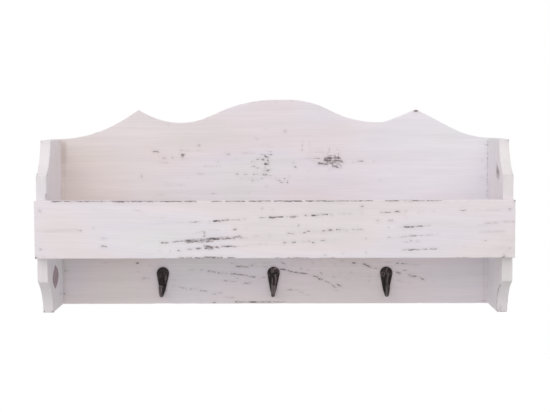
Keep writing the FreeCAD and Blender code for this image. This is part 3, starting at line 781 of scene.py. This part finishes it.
front_wash = whitewash("whitewash, front board", grain_lean=-0.055)
back_wash = whitewash("whitewash, back board", toned=True)
upright_wash = whitewash("whitewash, upright boards", upright=True, arris_wear=0.1)


def side_board(planes, rubs, marked):
    """How a side is cut, marked and finished."""
    return {
        "shown": lambda n: abs(n.x) > straight_on or n.y < leans_forward,
        "cuts": [("x", along_cut), ("y", along_cut), ("z", side_cross_cut)],
        "rubs": list(zip(planes, rubs)),
        "stains_and_shade": [],
        "marked": marked,
        "wash": upright_wash,
    }


boards = {
    "front_board": {
        "shown": lambda n: n.y < faces_wall,
        "cuts": [("x", along_cut), ("z", front_cross_cut)],
        "rubs": [(front_plane, front_board_rubs_px)],
        "stains_and_shade": [(front_plane, front_board_stains_px)],
        "marked": lambda p: True,
        "wash": front_wash,
    },
    "back_panel": {
        "shown": lambda n: n.y < -straight_on,
        "cuts": [("x", along_cut), ("z", back_cross_cut)],
        "rubs": [(back_plane, back_panel_rubs_px)],
        "stains_and_shade": [(back_plane, back_panel_painted_shade_px)],
        "marked": lambda p: p.y < back_face + marked_skin,
        "wash": back_wash,
    },
    "left_side": side_board(
        (left_inner_plane, side_edge_plane, foot_plane, neck_plane),
        (left_inner_rubs_px, left_edge_rubs_px, left_foot_rubs_px, left_neck_rubs_px),
        lambda p: p.x > left_low.x + marked_skin or p.y < left_low.y + marked_edge),
    "right_side": side_board(
        (right_inner_plane, side_edge_plane, foot_plane, neck_plane),
        (right_inner_rubs_px, right_edge_rubs_px, right_foot_rubs_px, right_neck_rubs_px),
        lambda p: p.x < right_high.x - marked_skin or p.y < right_low.y + marked_edge),
}
# The other faces get a coarse grid, for the wear that noise gives them
hidden_cuts = [(axis, hidden_cut) for axis in "xyz"]

# The knot in the left side's inner face, below the front board
knot_centre = Vector((left_high.x, -66 * mm, -161 * mm))
knot_half_depth = 22 * mm
knot_half_height = 16.5 * mm
knot_skin = 1 * mm
knot_wobble = 0.12
knot_wobble_rate = 90
knot_rim_place = 0.88
knot_rim_width = 0.16


def knot_values(piece):
    """How far inside the knot each point is, and how near its dark rear rim."""
    inside = []
    rim = []
    for vertex in piece.data.vertices:
        out = vertex.co - knot_centre
        if abs(out.x) > knot_skin:
            inside.append(0.0)
            rim.append(0.0)
            continue
        wobble = 1 + knot_wobble * noise.noise(vertex.co * knot_wobble_rate)
        up = out.z / knot_half_height
        away = (abs(out.y) / knot_half_depth + up ** 2) * wobble
        inside.append(max(0.0, 1 - away))
        rear = max(0.0, out.y / knot_half_depth + max(0.0, up - 0.3))
        near_rim = max(0.0, 1 - abs(away - knot_rim_place) / knot_rim_width)
        rim.append(near_rim * min(1.0, 1.8 * rear))
    return inside, rim


for node_name, board in boards.items():
    piece = worked_copy(node_name, node_name + "_washed")
    cut_fine(piece, lambda n: not board["shown"](n), hidden_cuts)
    cut_fine(piece, board["shown"], board["cuts"])
    rubbed = streak_values(piece, board["rubs"], rub_reach)
    arris = arris_values(piece)
    keep_values(piece, "rubbed", rubbed)
    keep_values(piece, "soiled", streak_values(piece, board["rubs"], soil_reach))
    keep_values(piece, "arris", arris)
    keep_values(piece, "stain_and_shade", streak_values(piece, board["stains_and_shade"], stain_and_shade_reach))
    keep_values(piece, "marked", [1.0 if board["marked"](v.co) else 0.0
                                  for v in piece.data.vertices])
    # Painted light: how squarely each point of a side faces sideways, which paints its broad
    # faces paler
    if node_name.endswith("side"):
        keep_values(piece, "broad", [abs(v.normal.x) for v in piece.data.vertices])
    if node_name == "left_side":
        inside, rim = knot_values(piece)
        keep_values(piece, "knot", inside)
        keep_values(piece, "knot_rim", rim)
    sink(piece, "rubbed places", rubbed, rub_depth, rub_grain)
    chips = [value * max(0.0, noise.noise(v.co * chip_rate) * chip_gain)
             for value, v in zip(arris, piece.data.vertices)]
    sink(piece, "chipped arrises", chips, chip_depth, chip_grain)
    finish_piece(piece, node_name, board["wash"], board_smooth_degrees)

refinish(nodes["shelf_board"], whitewash("whitewash, shelf"))

# Hooks

iron = cast_iron("dark antique lacquer on cast iron")
dark_screw = cast_iron("blackened screws")
nail_steel = steel("painted brads", screen(234, 228, 230), screen(206, 198, 199),
                   roughness=0.6, metal=0.0, grain=900.0)
zinc = steel("zinc plate", screen(176, 178, 178), screen(198, 199, 198),
             roughness=0.3, metal=1.0, grain=260.0)


def stroke_values(piece, strokes, rims):
    """How strongly strokes and the rims of screws touch each point of a hook's front, by how near
    it shows to them in the photograph."""
    values = []
    for vertex in piece.data.vertices:
        value = 0.0
        if vertex.normal.y < hook_front:
            spot = pixel_of(vertex.co)
            for row in strokes:
                start = Vector(row[:2])
                run = Vector(row[-3:-1]) - start
                share = (spot - start).dot(run) / max(run.length_squared, 0.01)
                nearest = start + run * min(1.0, max(0.0, share))
                away = (nearest - spot).length / stroke_reach_px
                value = max(value, row[-1] * (1 - away ** 2))
            for x, y, radius, depth in rims:
                away = abs((spot - Vector((x, y))).length - radius) / rim_reach_px
                value = max(value, depth * (1 - away ** 2))
        values.append(value)
    return values


def prong_wear_and_sheen_values(piece):
    """A little wear and painted sheen over the front of a hook's prong, palest where it faces
    straight forward.
    """
    lowest = min(corner[1] for corner in piece.bound_box)
    middle = (back_face + lowest) / 2
    return [prong_wear_and_sheen * max(0.0, -v.normal.y) ** 2 if v.co.y < middle else 0.0
            for v in piece.data.vertices]


for side, pale_strokes in hook_wear_and_highlights_px.items():
    node_name = "hook_" + side
    for name, material, slot in ((node_name, iron, "antique_iron"),
                                 (node_name + "_screws", dark_screw, "dark_screw")):
        piece = worked_copy(name, name + "_cast")
        cut_fine(piece, lambda n: n.y < hook_front, [("x", hook_cut), ("z", hook_cut)])
        # Pale strokes: wear and painted highlights
        worn = stroke_values(piece, pale_strokes, hook_screw_rims_px[side])
        worn = [max(pair) for pair in zip(worn, prong_wear_and_sheen_values(piece))]
        keep_values(piece, "wear_and_highlight", worn)
        # Dark strokes: painted shade
        keep_values(piece, "painted_shade", stroke_values(piece, hook_painted_shade_px[side], []))
        finish_piece(piece, name, material, hook_smooth_degrees)

for node_name, node in nodes.items():
    if node_name.endswith("_nails"):
        refinish(node, nail_steel)
    if node_name.startswith("hanger"):
        refinish(node, zinc)

# Studio


def looking_rays(tree):
    """1 for the rays that look past the rack: straight on, in a reflection or through glass."""
    path = tree.nodes.new("ShaderNodeLightPath")
    seen = path.outputs["Is Camera Ray"]
    for name in ("Is Glossy Ray", "Is Transmission Ray"):
        either = tree.nodes.new("ShaderNodeMath")
        either.operation = "MAXIMUM"
        tree.links.new(seen, either.inputs[0])
        tree.links.new(path.outputs[name], either.inputs[1])
        seen = either.outputs[0]
    return seen


def even_light(tree, strength):
    """Even white light for a world."""
    light = tree.nodes.new("ShaderNodeBackground")
    light.inputs["Color"].default_value = (1, 1, 1, 1)
    light.inputs["Strength"].default_value = strength
    return light.outputs[0]


def studio_world():
    """Even white light, and pure white behind the rack and in its reflections."""
    world = bpy.data.worlds.new("studio")
    scene.world = world
    world.use_nodes = True
    tree = world.node_tree
    tree.nodes.clear()
    mixed = tree.nodes.new("ShaderNodeMixShader")
    out = tree.nodes.new("ShaderNodeOutputWorld")
    tree.links.new(looking_rays(tree), mixed.inputs[0])
    tree.links.new(even_light(tree, world_light), mixed.inputs[1])
    tree.links.new(even_light(tree, 1.0), mixed.inputs[2])
    tree.links.new(mixed.outputs[0], out.inputs["Surface"])


def softbox(name, place, width, power):
    """A square softbox turned towards the middle of the rack."""
    data = bpy.data.lights.new(name, "AREA")
    data.shape = "SQUARE"
    data.size = width
    data.energy = power
    lamp = bpy.data.objects.new(name, data)
    scene.collection.objects.link(lamp)
    lamp.location = place
    aim = Vector(rack_middle) - Vector(place)
    lamp.rotation_euler = aim.to_track_quat("-Z", "Y").to_euler()


def studio_floor():
    """A plain pale floor, well below the rack, that shows white and keeps a soft shadow."""
    bpy.ops.object.select_all(action="DESELECT")
    bpy.ops.mesh.primitive_circle_add(vertices=96, radius=floor_radius, fill_type="NGON",
                                      location=(0, 0, floor_height))
    floor = bpy.context.object
    floor.name = "studio_floor"
    finish = Finish("pale floor")
    tree = finish.tree
    finish.surface.inputs["Base Color"].default_value = (floor_grey, floor_grey, floor_grey, 1)
    finish.surface.inputs["Roughness"].default_value = 0.9
    glow = tree.nodes.new("ShaderNodeEmission")
    glow.inputs["Color"].default_value = (1, 1, 1, 1)
    glow.inputs["Strength"].default_value = floor_glow
    added = tree.nodes.new("ShaderNodeAddShader")
    mixed = tree.nodes.new("ShaderNodeMixShader")
    out = tree.nodes["Material Output"]
    tree.links.new(finish.surface.outputs[0], added.inputs[0])
    tree.links.new(glow.outputs[0], added.inputs[1])
    tree.links.new(looking_rays(tree), mixed.inputs[0])
    tree.links.new(finish.surface.outputs[0], mixed.inputs[1])
    tree.links.new(added.outputs[0], mixed.inputs[2])
    tree.links.new(mixed.outputs[0], out.inputs["Surface"])
    floor.data.materials.append(finish.material)


studio_world()
studio_floor()
for name, place, width, power in softboxes:
    softbox(name, place, width, power)
